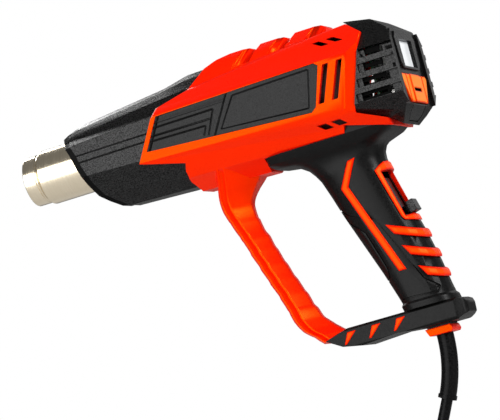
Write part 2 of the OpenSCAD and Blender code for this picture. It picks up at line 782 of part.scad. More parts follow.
module temp_rocker() {
    outer = cap_rear + rocker_proud;
    plate = outer - rocker_t;
    color([1, 0.45, 0.08]) difference() {
        union() {
            front(rocker_outline(0), plate, outer);
            intersection() {
                front(rocker_outline(0), plate, outer + band_h);
                block([plate, -band_w / 2, -60], [outer + band_h, band_w / 2, 0]);
            }
            block([pivot_d - 3, -stem_w / 2, rocker_z - 2.4], [plate + 1, stem_w / 2, rocker_z + 2.4]);
            for (h = key_at) barrel(board_front + board_t + key_h + 1.25 * slip) translate([-h, 0, 0])
                cylinder(d = 3, h = plate - board_front - board_t - key_h);
        }
        across(pivot_d, -far, rocker_z) cylinder(d = rocker_pin_d + 2 * running, h = 2 * far);
        block([outer - 1.6, -7, rocker_z - 1.8], [cap_rear + 9, 7, rocker_z]);
        both_sides() block([outer - 0.7, band_w / 2 + 6.5, -40], [cap_rear + 9, band_w / 2 + 7.5, 0]);
    }
}
module rocker_pin() {
    reach = stem_w / 2 + fit + lug_w;
    color(steel) across(pivot_d, -reach, rocker_z) cylinder(d = rocker_pin_d, h = 2 * reach);
}

// handle

function grip_h(u) = -body_low - (u <= grip_knee ? u
    : grip_knee + (u - grip_knee) * (handle_len - grip_knee) / (grip_design - grip_knee));
// carries a place on the grip along when the handle is made longer or shorter
function on_grip(p) = [p[0], grip_h(-p[1] - body_low)];
stretch = (handle_len - grip_knee) / (grip_design - grip_knee);
stripe = [for (p = stripe_at) on_grip(p)];
bezel = [for (p = bezel_at) on_grip(p)];
grip_screw_at = [for (p = grip_screw_holes) on_grip(p)];
slide_home = on_grip(slide_home_at);
slide_lean = atan(tan(slide_lean_at) / stretch);
function bow(c, n) = sign(c) * pow(abs(c), 2 / n);
function grip_outline(st, t) = let (a = (st[2] - st[1]) / 2, w = grip_w / 2 - st[3])
    shrink([for (k = [0 : grip_points - 1])
        [st[1] + a + a * bow(cos(360 * k / grip_points), st[4]), w * bow(sin(360 * k / grip_points),
            st[4])]], t);
module grip_solid(t) {
    loft([for (i = [len(grip_stations) - 1 : -1 : 0]) ring_h(grip_h(grip_stations[i][0]),
        grip_outline(grip_stations[i], t))]);
}
// the layer of the grip between an inner depth and an outer height
module grip_layer(depth, proud) {
    difference() {
        grip_solid(-proud);
        grip_solid(depth);
    }
}
module stripe_shape(t) rotate([90, 0, 0]) linear_extrude(2 * far, center = true) offset(delta = t)
    polygon(stripe);
module rib_shape(t) {
    for (first = rib_at) {
        a = on_grip(first);
        side([a + [-t, t], a + [40, 40 * rib_slope + t], a + [40, 40 * rib_slope - rib_h - t],
            a + [4 - t, 4 * rib_slope - rib_h - t]]);
    }
}
module seams(points) {
    at = [for (p = points) on_grip(p)];
    for (i = [0 : len(at) - 2]) {
        n = inward(at[i], at[i + 1]) * seam_w / 2;
        side([at[i] - n, at[i + 1] - n, at[i + 1] + n, at[i] + n]);
    }
}
module bezel_shape(t) rotate([90, 0, 0]) linear_extrude(2 * far, center = true) offset(delta = t)
    polygon(bezel);
// height of a side-view point along the slide
function slide_z(p) = (p[1] - slide_home[1]) * cos(slide_lean) - (p[0] - slide_home[0]) * sin(slide_lean);
module slide_frame() translate([slide_home[0], 0, slide_home[1]]) rotate([0, -slide_lean, 0]) children();
// everything above the handle, up to the housing's underside and the line it runs on along
over_grip = concat([[100, 60], [300, 60], [300, -49.5]], under, [[160, -60], [100, -60]]);
grip_screw_seat = 13;
module grip_half(turn) {
    color(black) half(turn) difference() {
        union() {
            difference() {
                grip_solid(0);
                grip_solid(grip_wall);
            }
            intersection() {
                grip_solid(grip_wall / 2);
                union() {
                    screw_bosses(grip_screw_at, boss_d, 30);
                    slide_frame() for (z = [-10, 16]) both_sides()
                        translate([-14, switch_size[1] / 2 + fit, z]) rotate([-90, 0, 0])
                            cylinder(d = 5, h = 30);
                }
            }
        }
        side(over_grip);
        difference() {
            union() {
                stripe_shape(fit);
                rib_shape(fit);
            }
            grip_solid(inlay_t + fit);
        }
        difference() {
            union() {
                seams(pad_seam);
                seams(flank_seam);
            }
            grip_solid(seam_depth);
        }
        bezel_shape(fit);
        screw_bores(grip_screw_at, grip_screw_seat);
    }
}
module grip_left() grip_half(-1);
module grip_right() grip_half(1);

module stripe_half(turn) {
    color(orange) half(turn) intersection() {
        stripe_shape(0);
        grip_layer(inlay_t, inlay_proud);
    }
}
module stripe_left() stripe_half(-1);
module stripe_right() stripe_half(1);
module grip_ribs() {
    color(orange) intersection() {
        rib_shape(0);
        grip_layer(inlay_t, rib_proud);
    }
}
module switch_bezel() {
    color(orange) difference() {
        intersection() {
            bezel_shape(0);
            grip_layer(grip_wall, bezel_proud);
        }
        slide_frame() block([-bezel_pocket, -pocket_w / 2, -knob_len / 2 - 1],
            [9, pocket_w / 2, slide_z(bezel[0]) - bezel_hood]);
    }
}
module switch_knob() {
    color(black) slide_frame() {
        block([-0.6, -knob_w / 2, -knob_len / 2], [bezel_proud + knob_h, knob_w / 2, knob_len / 2]);
        block([-stem_foot, -stem_w_knob / 2, -stem_len / 2], [bezel_proud + 0.5, stem_w_knob / 2,
            stem_len / 2]);
    }
}
module switch_body() {
    color(grey) slide_frame() block([-stem_foot - slip - switch_size[0], -switch_size[1] / 2, -slide_foot],
        [-stem_foot - slip, switch_size[1] / 2, switch_size[2] - slide_foot]);
}

// guard and base

module guard() {
    color(orange) difference() {
        loft([for (st = guard_stations) let (c = guard_bevel, w = guard_w / 2 + st[3],
            k = st[0] < -100 ? base_shift : 0)
            ring_h(st[0] + k, [[st[1] + c, -w], [st[2] - c, -w], [st[2], c - w], [st[2], w - c],
                [st[2] - c, w], [st[1] + c, w], [st[1], w - c], [st[1], c - w]])]);
        side([[100, base_top - 24.9], [168, base_top - 4.5], [183, base_top], [300, base_top], [300,
            -300], [100, -300]]);
        body_solid(0, cheek_front, body_back);
    }
}
base_outline = [[168, base_top - 4.5], [183, base_top], [255, base_top], [258.4, base_top - 1.6], [260,
    base_top - 4.5],
    [259.6, base_low + 3], [253, base_low], [232, base_low], [214, base_low + 1.7], [190,
        base_low + 0.2], [178, base_low + 2.5]];
module insert_shape(t) {
    for (k = [0 : insert_count - 1]) {
        d = insert_first + insert_pitch * k;
        side([[d - t, base_low + 3.2 - t], [d + insert_low + t, base_low + 3.2 - t],
            [d + insert_slant + insert_high + t, base_top - 2.6 + t], [d + insert_slant - t,
                base_top - 2.6 + t]]);
    }
}
module base_bar() {
    w = base_w / 2;
    c = base_bevel;
    color(black) difference() {
        union() {
            intersection() {
                side(base_outline);
                front([[w - c, base_low], [w, base_low + c], [w, base_top - c], [w - c, base_top],
                    [c - w, base_top], [-w, base_top - c], [-w, base_low + c], [c - w, base_low]], 0, 300);
                translate([0, 0, base_low]) linear_extrude(base_h) polygon([[160, -w], [253, -w],
                    [257.5, 3 - w],
                    [261, 8 - w], [261, w - 8], [257.5, w - 3], [253, w], [160, w]]);
            }
            block([neck[0], -neck[2], collar_top], [neck[1], neck[2], base_low + 1]);
        }
        both_sides() intersection() {
            insert_shape(fit);
            block([0, w - inlay_t, -300], [300, far, 0]);
        }
        translate([cord_at, 0, collar_top - 1]) cylinder(d = cord_d + 2 * slip, h = 30);
        for (p = base_screw_at) translate([p[0], p[1], base_low - 5]) {
            cylinder(d = screw_d + 2 * fit, h = 30);
            cylinder(d = screw_head + 2 * fit, h = 8);
        }
    }
}
module base_inserts() {
    color(orange) both_sides() intersection() {
        insert_shape(0);
        block([0, base_w / 2 - inlay_t, -300], [300, base_w / 2 + inlay_proud, 0]);
    }
}

// cord

module cord_clamp() {
    color(grey) difference() {
        block([cord_at - 12, -clamp_w / 2, base_top], [cord_at + 8, clamp_w / 2, base_top + clamp_h]);
        translate([cord_at, 0, base_top - 1]) cylinder(d = cord_d + 2 * fit, h = clamp_h + 2);
        for (p = base_screw_at) translate([p[0], p[1], base_top - 1]) cylinder(d = screw_d + 2 * fit,
            h = clamp_h + 2);
    }
}
module cord_root() {
    color(black) translate([cord_at, 0, collar_low]) cylinder(d = cord_d,
        h = base_top + clamp_h + 2 - collar_low);
}
wire_top = slide_home - (7 + switch_size[0] / 2) * [cos(slide_lean), sin(slide_lean)]
    - (slide_foot + 0.8) * [-sin(slide_lean), cos(slide_lean)];
module lead_wires() {
    foot = [cord_at - 1, base_top + clamp_h + 2.2];
    run = wire_top - foot;
    color(copper) for (s = [-2, 2]) translate([foot[0], s, foot[1]]) rotate([0, atan2(run[0], run[1]), 0])
        cylinder(d = 2.4, h = norm(run));
}
module cord_collar() {
    color(orange) difference() {
        side([[collar[0], collar_top], [collar[0] + 2, collar_low], [collar[1] - 1, collar_low],
            [collar[1], collar_low + 1.5], [collar[1] - 1, collar_top]], -collar[2], collar[2]);
        translate([cord_at, 0, collar_low - 1]) cylinder(d = cord_d + 2 * fit, h = 30);
    }
}
module cord_sleeve() {
    color(black) translate([cord_at - sleeve_bend, 0, collar_low]) rotate([90, 0, 0]) {
        rotate([0, 0, -sleeve_angle]) rotate_extrude(angle = sleeve_angle, $fn = 200)
            translate([sleeve_bend, 0]) circle(d = sleeve_d, $fn = 48);
        rotate([0, 0, -sleeve_angle]) rotate_extrude(angle = lip_angle, $fn = 200)
            translate([sleeve_bend, 0]) circle(d = sleeve_d + lip_extra, $fn = 48);
    }
}
exit_at = [cord_at - sleeve_bend * (1 - cos(sleeve_angle)), 0,
    collar_low - sleeve_bend * sin(sleeve_angle)];
exit_way = [-sin(sleeve_angle), 0, -cos(sleeve_angle)];
layer_s = coil_pitch / 2;
lead_end = exit_at + lead_len * exit_way + [0, -layer_s, 0];
first_turn = 180 - sleeve_angle;
coil_mid = lead_end - coil_out * [cos(first_turn), 0, sin(first_turn)];
inner_r = coil_out - coil_pitch * coil_in_turns;
loop_steps = 24;
in_steps = loop_steps * coil_in_turns;
climb_steps = loop_steps / 2;
out_steps = round(loop_steps * coil_out_turns);
// the loops spiral in, climb to the second layer where the spiral turns round, and spiral out again
function coil_r(i) = i <= in_steps + climb_steps / 2 ? coil_out - coil_pitch * i / loop_steps
    : coil_out - coil_pitch * (2 * in_steps + climb_steps - i) / loop_steps;
function coil_s(i) = let (c = (i - in_steps) / climb_steps)
    -layer_s * cos(180 * min(1, max(0, c)));
coil_path = [for (i = [0 : in_steps + climb_steps + out_steps])
    let (a = first_turn + 360 * i / loop_steps)
    [coil_mid[0] + coil_r(i) * cos(a), coil_s(i), coil_mid[2] + coil_r(i) * sin(a)]];
coil_last = coil_path[len(coil_path) - 1];
tail_low = coil_last - [0, 0, cord_d + tail_len];
// both ends of the lead run straight, so that they meet the sleeve and the coil squarely
lead_path = [for (f = [0, 0.1, 0.3, 0.5, 0.7, 0.9, 1]) let (sway = min(1, max(0, (f - 0.1) / 0.8)))
    exit_at + f * lead_len * exit_way + [0, -layer_s * (1 - cos(180 * sway)) / 2, 0]];
module cord_lead() {
    color(black) tube(lead_path, cord_d, 10, [0, 1, 0]);
}
module cord_coil() {
    echo(coil_gap = least_gap(coil_path, cord_d, loop_steps / 2));
    color(black) tube(concat([coil_path[0], coil_path[0] + exit_way / 2], [for (i = [1 :
        len(coil_path) - 1]) coil_path[i]],
        [coil_last - [0, 0, cord_d]]), cord_d, 6, [0, 1, 0]);
}
module cord_tail() {
    color(black) tube([for (f = [0, 0.5, 1]) coil_last - [0, 0, cord_d + f * tail_len]], cord_d, 10,
        [0, 1, 0]);
}
module cord_tie() {
    low = inner_r + coil_pitch * 0.175 - cord_d / 2 - 2 * slip;
    high = coil_out + coil_pitch * 0.35 + cord_d / 2 + slip;
    wide = layer_s + cord_d / 2 * cos(30) + 2 * fit;
    color(white) translate([coil_mid[0] - tie_w / 2, 0, coil_mid[2]]) difference() {
        block([0, -wide - tie_t, low - tie_t], [tie_w, wide + tie_t, high + tie_t]);
        block([-1, -wide, low], [tie_w + 1, wide, high]);
    }
}
module plug_body() {
    neck_r = cord_d / 2 + 1.5;
    color(black) translate(tail_low) rotate([180, 0, 0]) rotate_extrude() polygon([
        [0, 0], [neck_r, 0], [neck_r + 2, plug_neck], [plug_d / 2 - 4, plug_neck + 2],
        [plug_d / 2, plug_neck + 7], [plug_d / 2, plug_neck + plug_len], [0, plug_neck + plug_len]]);
}
module plug_pins() {
    color(steel) for (s = [-1, 1])
        translate(tail_low + [s * pin_span / 2, 0, -plug_neck - plug_len - pin_len])
            cylinder(d = pin_d, h = pin_len);
}

// screws

module body_screws() {
    color(steel) screw_set(body_screw_at, body_screw_seat);
}
module grip_screws() {
    color(steel) screw_set(grip_screw_at, grip_screw_seat);
}
module base_screws() {
    color(steel) for (p = base_screw_at) translate([p[0], p[1], base_low + 0.8]) {
        cylinder(d = screw_d, h = base_h + clamp_h - 2);
        cylinder(d = screw_head, h = 2.2);
    }
}

place() nozzle_tube();
place() mica_sleeve();
place() heater_cross();
place() heater_coil();
place() thermal_cutout();
place() nose_shroud();
place() housing_left();
place() housing_right();
place() side_panel_left();
place() side_panel_right();
place() air_duct();
place() motor_mount();
place() motor();
place() motor_shaft();
place() impeller();
place() rear_cap();
place() display_lens();
place() display_module();
place() control_board();
place() key_switches();
place() inlet_screens();
place() temp_rocker();
place() rocker_pin();
place() grip_left();
place() grip_right();
place() stripe_left();
place() stripe_right();
place() grip_ribs();
place() switch_bezel();
place() switch_knob();
place() switch_body();
place() guard();
place() base_bar();
place() base_inserts();
place() cord_clamp();
place() lead_wires();
place() cord_root();
place() cord_collar();
place() cord_sleeve();
place() cord_lead();
place() cord_coil();
place() cord_tie();
place() cord_tail();
place() plug_body();
place() plug_pins();
place() body_screws();
place() grip_screws();
place() base_screws();
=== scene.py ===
import math
import bmesh
import bpy
from mathutils import Matrix, Vector


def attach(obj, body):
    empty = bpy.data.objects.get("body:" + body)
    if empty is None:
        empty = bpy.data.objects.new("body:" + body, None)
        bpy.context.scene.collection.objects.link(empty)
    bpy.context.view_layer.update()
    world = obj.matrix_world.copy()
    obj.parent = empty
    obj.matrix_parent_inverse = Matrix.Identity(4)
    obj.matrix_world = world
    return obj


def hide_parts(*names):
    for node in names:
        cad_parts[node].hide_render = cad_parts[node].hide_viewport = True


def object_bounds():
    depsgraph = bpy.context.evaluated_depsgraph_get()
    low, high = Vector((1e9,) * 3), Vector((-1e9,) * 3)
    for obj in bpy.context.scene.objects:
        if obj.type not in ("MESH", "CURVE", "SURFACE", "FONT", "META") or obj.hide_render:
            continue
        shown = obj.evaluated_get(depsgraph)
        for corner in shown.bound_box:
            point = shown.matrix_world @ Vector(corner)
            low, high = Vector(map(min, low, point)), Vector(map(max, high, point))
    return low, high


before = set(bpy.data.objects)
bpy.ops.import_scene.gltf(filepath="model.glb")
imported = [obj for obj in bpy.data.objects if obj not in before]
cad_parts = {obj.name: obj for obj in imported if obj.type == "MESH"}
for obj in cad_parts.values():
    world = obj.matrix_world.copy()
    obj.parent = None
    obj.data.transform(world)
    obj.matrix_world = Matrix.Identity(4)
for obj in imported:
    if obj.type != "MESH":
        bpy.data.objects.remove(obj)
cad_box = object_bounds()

# Camera and studio. The barrel is level, and a rolled camera with a long lens looks at the gun's left side,
# from behind and a little from below. The surroundings are white to the camera and through glass, and a dim
# grey room in what is mirrored. Four soft lamps light the gun above a plain pale floor.
scene = bpy.context.scene
scene.view_settings.view_transform = "Standard"
azimuth, elevation, roll = (math.radians(a) for a in (199.0, -6.0, 14.8))
aim = Vector((0.08474, 0.0, 0.03754))
distance = 1.874
away = Vector((math.sin(azimuth) * math.cos(elevation), -math.cos(azimuth) * math.cos(elevation),
               math.sin(elevation)))
level = Vector((math.cos(azimuth), math.sin(azimuth), 0.0))
upright = away.cross(level)
picture_right = level * math.cos(roll) - upright * math.sin(roll)
picture_up = level * math.sin(roll) + upright * math.cos(roll)
lens = bpy.data.cameras.new("camera")
lens.sensor_fit = "HORIZONTAL"
lens.sensor_width = 36.0
lens.lens = 216.0
lens.clip_end = 20.0
camera = bpy.data.objects.new("camera", lens)
turn = Matrix((picture_right, picture_up, away)).transposed().to_4x4()
camera.matrix_world = Matrix.Translation(aim + distance * away) @ turn
scene.collection.objects.link(camera)
scene.camera = camera

studio = bpy.data.worlds.new("studio")
studio.use_nodes = True
scene.world = studio
nodes, links = studio.node_tree.nodes, studio.node_tree.links
nodes.clear()
seen_by = nodes.new("ShaderNodeLightPath")
plainly = nodes.new("ShaderNodeMath")
plainly.operation = "MAXIMUM"
backgrounds = {}
for name, strength in (("room", 0.13), ("mirrored", 0.18), ("white", 1.0)):
    backgrounds[name] = nodes.new("ShaderNodeBackground")
    backgrounds[name].inputs["Color"].default_value = (1.0, 1.0, 1.0, 1.0)
    backgrounds[name].inputs["Strength"].default_value = strength
shiny = nodes.new("ShaderNodeMixShader")
choose = nodes.new("ShaderNodeMixShader")
world_out = nodes.new("ShaderNodeOutputWorld")
links.new(seen_by.outputs["Is Camera Ray"], plainly.inputs[0])
links.new(seen_by.outputs["Is Transmission Ray"], plainly.inputs[1])
links.new(seen_by.outputs["Is Glossy Ray"], shiny.inputs["Fac"])
links.new(backgrounds["room"].outputs[0], shiny.inputs[1])
links.new(backgrounds["mirrored"].outputs[0], shiny.inputs[2])
links.new(plainly.outputs[0], choose.inputs["Fac"])
links.new(shiny.outputs[0], choose.inputs[1])
links.new(backgrounds["white"].outputs[0], choose.inputs[2])
links.new(choose.outputs[0], world_out.inputs["Surface"])


def lamp(name, place, size, watts):
    """A soft box that looks at the gun and isn't seen itself."""
    light = bpy.data.lights.new(name, "AREA")
    light.shape = "SQUARE"
    light.size = size
    light.energy = watts
    box = bpy.data.objects.new(name, light)
    towards_gun = (aim - Vector(place)).to_track_quat("-Z", "Y").to_matrix().to_4x4()
    box.matrix_world = Matrix.Translation(place) @ towards_gun
    box.visible_camera = False
    scene.collection.objects.link(box)


lamp("key_lamp", place=(0.635, 1.58, 0.33), size=1.5, watts=30.0)
lamp("rear_lamp", place=(-1.35, 0.5, 0.6), size=0.7, watts=25.0)
lamp("far_lamp", place=(0.88, -0.85, 0.90), size=0.4, watts=9.0)
lamp("back_lamp", place=(-0.18, -1.2, 0.39), size=0.5, watts=0.45)

floor_half, floor_drop, floor_grey, floor_rough = 4.0, 0.02, 0.64, 0.8
floor_shape = bmesh.new()
bmesh.ops.create_grid(floor_shape, x_segments=1, y_segments=1, size=floor_half)
bmesh.ops.translate(floor_shape, verts=floor_shape.verts, vec=(0.0, 0.0, cad_box[0][2] - floor_drop))
floor_mesh = bpy.data.meshes.new("floor")
floor_shape.to_mesh(floor_mesh)
floor_shape.free()
floor = bpy.data.objects.new("floor", floor_mesh)
scene.collection.objects.link(floor)
floor_paint = bpy.data.materials.new("floor_paint")
floor_paint.use_nodes = True
floor_surface = floor_paint.node_tree.nodes["Principled BSDF"].inputs
floor_surface["Base Color"].default_value = (floor_grey, floor_grey, floor_grey, 1.0)
floor_surface["Roughness"].default_value = floor_rough
floor_mesh.materials.append(floor_paint)

# Mains cord: 2 m of 7 mm black rubber lead. It leaves the bend sleeve on a slant, is wound into a tied
# coil of two layers that hangs under the handle, and ends in a moulded plug with two plated pins.
MM = 0.001
tip_ahead, axis_high = 222.0, 95.0


def at(back, right, high):
    """A place given in mm back from the nozzle tip, to the gun's right, and above the barrel axis."""
    return Vector(((tip_ahead - back) * MM, -right * MM, (axis_high + high) * MM))


cord_d, cord_back, collar_low = 7.0, 238.5, -164.7
sleeve_bend, sleeve_angle = 85.0, math.radians(27.0)
exit_at = Vector((cord_back - sleeve_bend * (1 - math.cos(sleeve_angle)), 0.0,
                  collar_low - sleeve_bend * math.sin(sleeve_angle)))
exit_way = Vector((-math.sin(sleeve_angle), 0.0, -math.cos(sleeve_angle)))
lead_len, lead_straight, lead_steps = 80.0, 0.1, 20
tail_len, tail_steps = 40.0, 8
coil_gap, coil_out, coil_in_turns, coil_out_turns = 0.8, 54.0, 3, 3.575
coil_pitch = cord_d + coil_gap
layer = coil_pitch / 2
lead_end = exit_at + lead_len * exit_way + Vector((0.0, -layer, 0.0))
first_turn = math.pi - sleeve_angle
coil_mid = lead_end - coil_out * Vector((math.cos(first_turn), 0.0, math.sin(first_turn)))
loop_steps = 48
in_steps = loop_steps * coil_in_turns
climb_steps = loop_steps // 2
out_steps = round(loop_steps * coil_out_turns)
route = []
for step in range(lead_steps):
    along = step / lead_steps
    swayed = min(1.0, max(0.0, (along - lead_straight) / (1.0 - 2 * lead_straight)))
    sway = -layer * (1 - math.cos(math.pi * swayed)) / 2
    route.append(exit_at + lead_len * along * exit_way + Vector((0.0, sway, 0.0)))
for step in range(in_steps + climb_steps + out_steps + 1):
    if step <= in_steps + climb_steps / 2:
        radius = coil_out - coil_pitch * step / loop_steps
    else:
        radius = coil_out - coil_pitch * (2 * in_steps + climb_steps - step) / loop_steps
    climb = min(1.0, max(0.0, (step - in_steps) / climb_steps))
    angle = first_turn + 2 * math.pi * step / loop_steps
    route.append(Vector((coil_mid.x + radius * math.cos(angle), -layer * math.cos(math.pi * climb),
                         coil_mid.z + radius * math.sin(angle))))
coil_last = route[-1].copy()
for step in range(1, tail_steps + 1):
    route.append(coil_last - Vector((0.0, 0.0, (cord_d + tail_len) * step / tail_steps)))


def strand(name, points, thick, rounds):
    """A round strand that follows a row of places."""
    curve = bpy.data.curves.new(name, "CURVE")
    curve.dimensions = "3D"
    curve.bevel_depth = 1.0
    curve.bevel_resolution = rounds
    curve.use_fill_caps = True
    run = curve.splines.new("POLY")
    run.points.add(len(points) - 1)
    for point, place in zip(run.points, points):
        point.co = (*at(*place), 1.0)
        point.radius = thick / 2 * MM
    run.use_smooth = True
    piece = bpy.data.objects.new(name, curve)
    scene.collection.objects.link(piece)
    return piece


mains_cord = strand("mains_cord", route, thick=cord_d, rounds=3)
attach(mains_cord, "body")
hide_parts("cord_lead", "cord_coil", "cord_tail")


def moulded_grain():
    """Node group: the fine spark-eroded texture of a mould and the slow mottle of its plastic."""
    group = bpy.data.node_groups.new("moulded_grain", "ShaderNodeTree")
    grain_size = group.interface.new_socket("Grain Size", in_out="INPUT", socket_type="NodeSocketFloat")
    grain_size.default_value = 1500.0
    group.interface.new_socket("Grain", in_out="OUTPUT", socket_type="NodeSocketFloat")
    group.interface.new_socket("Mottle", in_out="OUTPUT", socket_type="NodeSocketFloat")
    ins, outs = group.nodes.new("NodeGroupInput"), group.nodes.new("NodeGroupOutput")
    where = group.nodes.new("ShaderNodeTexCoord")
    fine = group.nodes.new("ShaderNodeTexNoise")
    fine.inputs["Detail"].default_value = 2.0
    slow = group.nodes.new("ShaderNodeTexNoise")
    slow.inputs["Scale"].default_value = 55.0
    slow.inputs["Detail"].default_value = 4.0
    both = group.nodes.new("ShaderNodeMix")
    both.inputs["Factor"].default_value = 0.85
    group.links.new(where.outputs["Object"], fine.inputs["Vector"])
    group.links.new(ins.outputs["Grain Size"], fine.inputs["Scale"])
    group.links.new(where.outputs["Object"], slow.inputs["Vector"])
    group.links.new(slow.outputs["Fac"], both.inputs["A"])
    group.links.new(fine.outputs["Fac"], both.inputs["B"])
    group.links.new(fine.outputs["Fac"], outs.inputs["Grain"])
    group.links.new(both.outputs["Result"], outs.inputs["Mottle"])
    return group


grain_group = moulded_grain()


def plastic(name, dark, light, rough, grain_size, grain_depth, gloss, sheen_tint=(1.0, 1.0, 1.0), rim=None,
            sparkle=0.0):
    """A moulded plastic: two close colours that mottle into each other, under a fine grain that may sparkle.

    A darker colour for edges, where one is given, is painted shade: it takes over where an attribute of the
    piece marks edges and recesses."""
    paint = bpy.data.materials.new(name)
    paint.use_nodes = True
    tree = paint.node_tree
    surface = tree.nodes["Principled BSDF"]
    surface.inputs["Specular IOR Level"].default_value = gloss
    surface.inputs["Specular Tint"].default_value = (*sheen_tint, 1.0)
    grain = tree.nodes.new("ShaderNodeGroup")
    grain.node_tree = grain_group
    grain.inputs["Grain Size"].default_value = grain_size
    spread = tree.nodes.new("ShaderNodeMapRange")
    spread.inputs["From Min"].default_value = 0.38
    spread.inputs["From Max"].default_value = 0.62
    tint = tree.nodes.new("ShaderNodeMix")
    tint.data_type = "RGBA"
    tint.inputs["A"].default_value = (*dark, 1.0)
    tint.inputs["B"].default_value = (*light, 1.0)
    sheen = tree.nodes.new("ShaderNodeMapRange")
    sheen.inputs["To Min"].default_value = rough - 0.09
    sheen.inputs["To Max"].default_value = rough + 0.09
    bump = tree.nodes.new("ShaderNodeBump")
    bump.inputs["Strength"].default_value = 0.6
    bump.inputs["Distance"].default_value = grain_depth * MM
    tree.links.new(grain.outputs["Mottle"], spread.inputs["Value"])
    tree.links.new(spread.outputs["Result"], tint.inputs["Factor"])
    colour = tint.outputs["Result"]
    if rim:
        edge = tree.nodes.new("ShaderNodeAttribute")
        edge.attribute_name = "rim"
        edged = tree.nodes.new("ShaderNodeMix")
        edged.data_type = "RGBA"
        edged.inputs["B"].default_value = (*rim, 1.0)
        tree.links.new(edge.outputs["Fac"], edged.inputs["Factor"])
        tree.links.new(colour, edged.inputs["A"])
        colour = edged.outputs["Result"]
    if sparkle:
        glints = tree.nodes.new("ShaderNodeMapRange")
        glints.inputs["From Min"].default_value = 0.42
        glints.inputs["From Max"].default_value = 0.58
        glints.inputs["To Max"].default_value = sparkle
        surface.inputs["Coat Roughness"].default_value = rough
        tree.links.new(grain.outputs["Grain"], glints.inputs["Value"])
        tree.links.new(glints.outputs["Result"], surface.inputs["Coat Weight"])
    tree.links.new(colour, surface.inputs["Base Color"])
    tree.links.new(spread.outputs["Result"], sheen.inputs["Value"])
    tree.links.new(sheen.outputs["Result"], surface.inputs["Roughness"])
    tree.links.new(grain.outputs["Grain"], bump.inputs["Height"])
    tree.links.new(bump.outputs["Normal"], surface.inputs["Normal"])
    return paint


cord_rubber = plastic("cord_rubber", (0.001, 0.001, 0.001), (0.004, 0.004, 0.0042), rough=0.36,
                      grain_size=900.0, grain_depth=0.03, gloss=0.09)
mains_cord.data.materials.append(cord_rubber)


def finish_piece(shape, name, body, paint, slot, *stands_for, smooth=30.0):
    """Makes a piece from a finished shape, rides it on a body and hides the nodes it stands for."""
    for face in shape.faces:
        face.smooth = True
    mesh = bpy.data.meshes.new(name)
    shape.to_mesh(mesh)
    shape.free()
    mesh.set_sharp_from_angle(angle=math.radians(smooth))
    mesh.materials.append(paint)
    piece = bpy.data.objects.new(name, mesh)
    scene.collection.objects.link(piece)
    even = piece.modifiers.new("even", "WEIGHTED_NORMAL")
    even.keep_sharp = True
    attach(piece, body)
    if stands_for:
        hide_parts(*stands_for)
    return piece


weld_gap, flat_within, bevel_room = 2e-6, math.radians(0.6), 2.2


def softened(node, paint, slot, round_off, body="body", angle=25.0, segments=2, smooth=30.0):
    """Copies a node's faces into a new piece and rounds its edges off, as a mould's edges are."""
    shape = bmesh.new()
    shape.from_mesh(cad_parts[node].data)
    bmesh.ops.remove_doubles(shape, verts=shape.verts, dist=weld_gap)
    bmesh.ops.dissolve_limit(shape, angle_limit=flat_within, verts=shape.verts, edges=shape.edges)
    keen = math.radians(angle)
    reach = bevel_room * round_off * MM
    short = {v for e in shape.edges if e.calc_length() < reach for v in e.verts}
    edges = [e for e in shape.edges if len(e.link_faces) == 2 and e.calc_face_angle(0.0) > keen
             and not (e.verts[0] in short or e.verts[1] in short)]
    bmesh.ops.bevel(shape, geom=edges, offset=round_off * MM, offset_type="ABSOLUTE", segments=segments,
                    profile=0.5, affect="EDGES", clamp_overlap=False, material=-1)
    return finish_piece(shape, "dressed_" + node, body, paint, slot, node, smooth=smooth)


plug = softened("plug_body", cord_rubber, "cord_rubber", round_off=0.8)
tie_plastic = plastic("tie_plastic", (0.55, 0.54, 0.51), (0.64, 0.63, 0.60), rough=0.45, grain_size=700.0,
                      grain_depth=0.03, gloss=0.4)
tie = softened("cord_tie", tie_plastic, "tie_plastic", round_off=0.4)


def metal(name, dark, light, rough, across, along):
    """A bare metal with the fine lines that turning or drawing leaves on it."""
    paint = bpy.data.materials.new(name)
    paint.use_nodes = True
    tree = paint.node_tree
    surface = tree.nodes["Principled BSDF"]
    surface.inputs["Metallic"].default_value = 1.0
    where = tree.nodes.new("ShaderNodeTexCoord")
    stretch = tree.nodes.new("ShaderNodeMapping")
    stretch.inputs["Scale"].default_value = (across, along, along)
    lines = tree.nodes.new("ShaderNodeTexNoise")
    lines.inputs["Scale"].default_value = 1.0
    lines.inputs["Detail"].default_value = 3.0
    tint = tree.nodes.new("ShaderNodeMix")
    tint.data_type = "RGBA"
    tint.inputs["A"].default_value = (*dark, 1.0)
    tint.inputs["B"].default_value = (*light, 1.0)
    sheen = tree.nodes.new("ShaderNodeMapRange")
    sheen.inputs["From Min"].default_value = 0.3
    sheen.inputs["From Max"].default_value = 0.7
    sheen.inputs["To Min"].default_value = rough - 0.05
    sheen.inputs["To Max"].default_value = rough + 0.07
    bump = tree.nodes.new("ShaderNodeBump")
    bump.inputs["Strength"].default_value = 0.25
    bump.inputs["Distance"].default_value = 0.02 * MM
    tree.links.new(where.outputs["Object"], stretch.inputs["Vector"])
    tree.links.new(stretch.outputs["Vector"], lines.inputs["Vector"])
    tree.links.new(lines.outputs["Fac"], tint.inputs["Factor"])
    tree.links.new(tint.outputs["Result"], surface.inputs["Base Color"])
    tree.links.new(lines.outputs["Fac"], sheen.inputs["Value"])
    tree.links.new(sheen.outputs["Result"], surface.inputs["Roughness"])
    tree.links.new(lines.outputs["Fac"], bump.inputs["Height"])
    tree.links.new(bump.outputs["Normal"], surface.inputs["Normal"])
    return paint


def dress(paint, *names):
    """Gives CAD nodes that keep their own shape a finish."""
    for name in names:
        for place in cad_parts[name].material_slots:
            place.material = paint


nickel = metal("nickel_plate", (0.62, 0.61, 0.58), (0.78, 0.77, 0.74), rough=0.22, across=300.0, along=300.0)
dress(nickel, "plug_pins")

